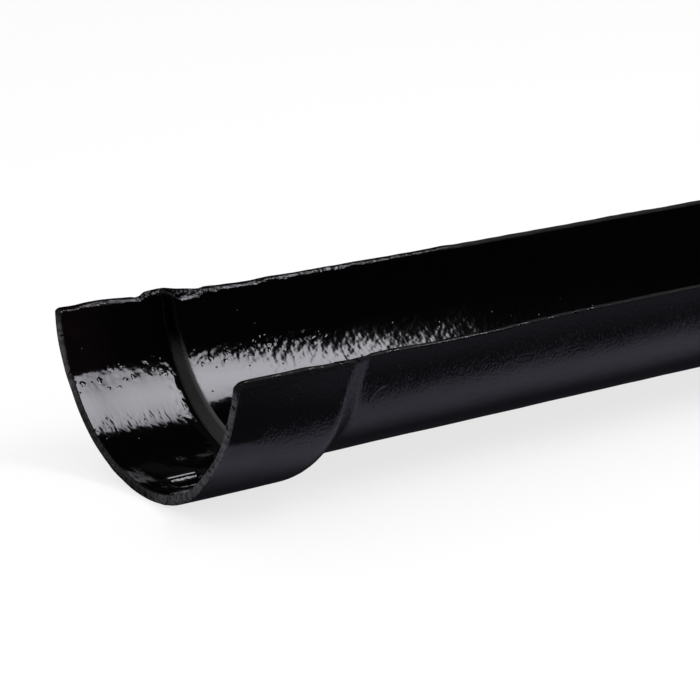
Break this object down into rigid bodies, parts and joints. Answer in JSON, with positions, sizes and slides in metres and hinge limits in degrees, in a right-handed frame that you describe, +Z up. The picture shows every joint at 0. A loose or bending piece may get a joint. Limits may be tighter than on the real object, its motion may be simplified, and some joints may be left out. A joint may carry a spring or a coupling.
{
  "type": "half round gutter",
  "caption": "Length of half round rain gutter, a single iron casting with a bolted joint socket at one end and a plain spigot at the other.",
  "frame": {"origin": "midway along the gutter, on its centre line, level with the lowest point of the socket's sole", "axes": "+X along the gutter from the socket's mouth to the spigot end, +Y across it, +Z up out of the channel"},
  "size_m": [1.8766, 0.1286, 0.0617],
  "materials": {
    "painted_iron": "black gloss paint over cast iron"
  },
  "bodies": {
    "root": {"half_round_gutter": "painted_iron"}
  },
  "joints": []
}
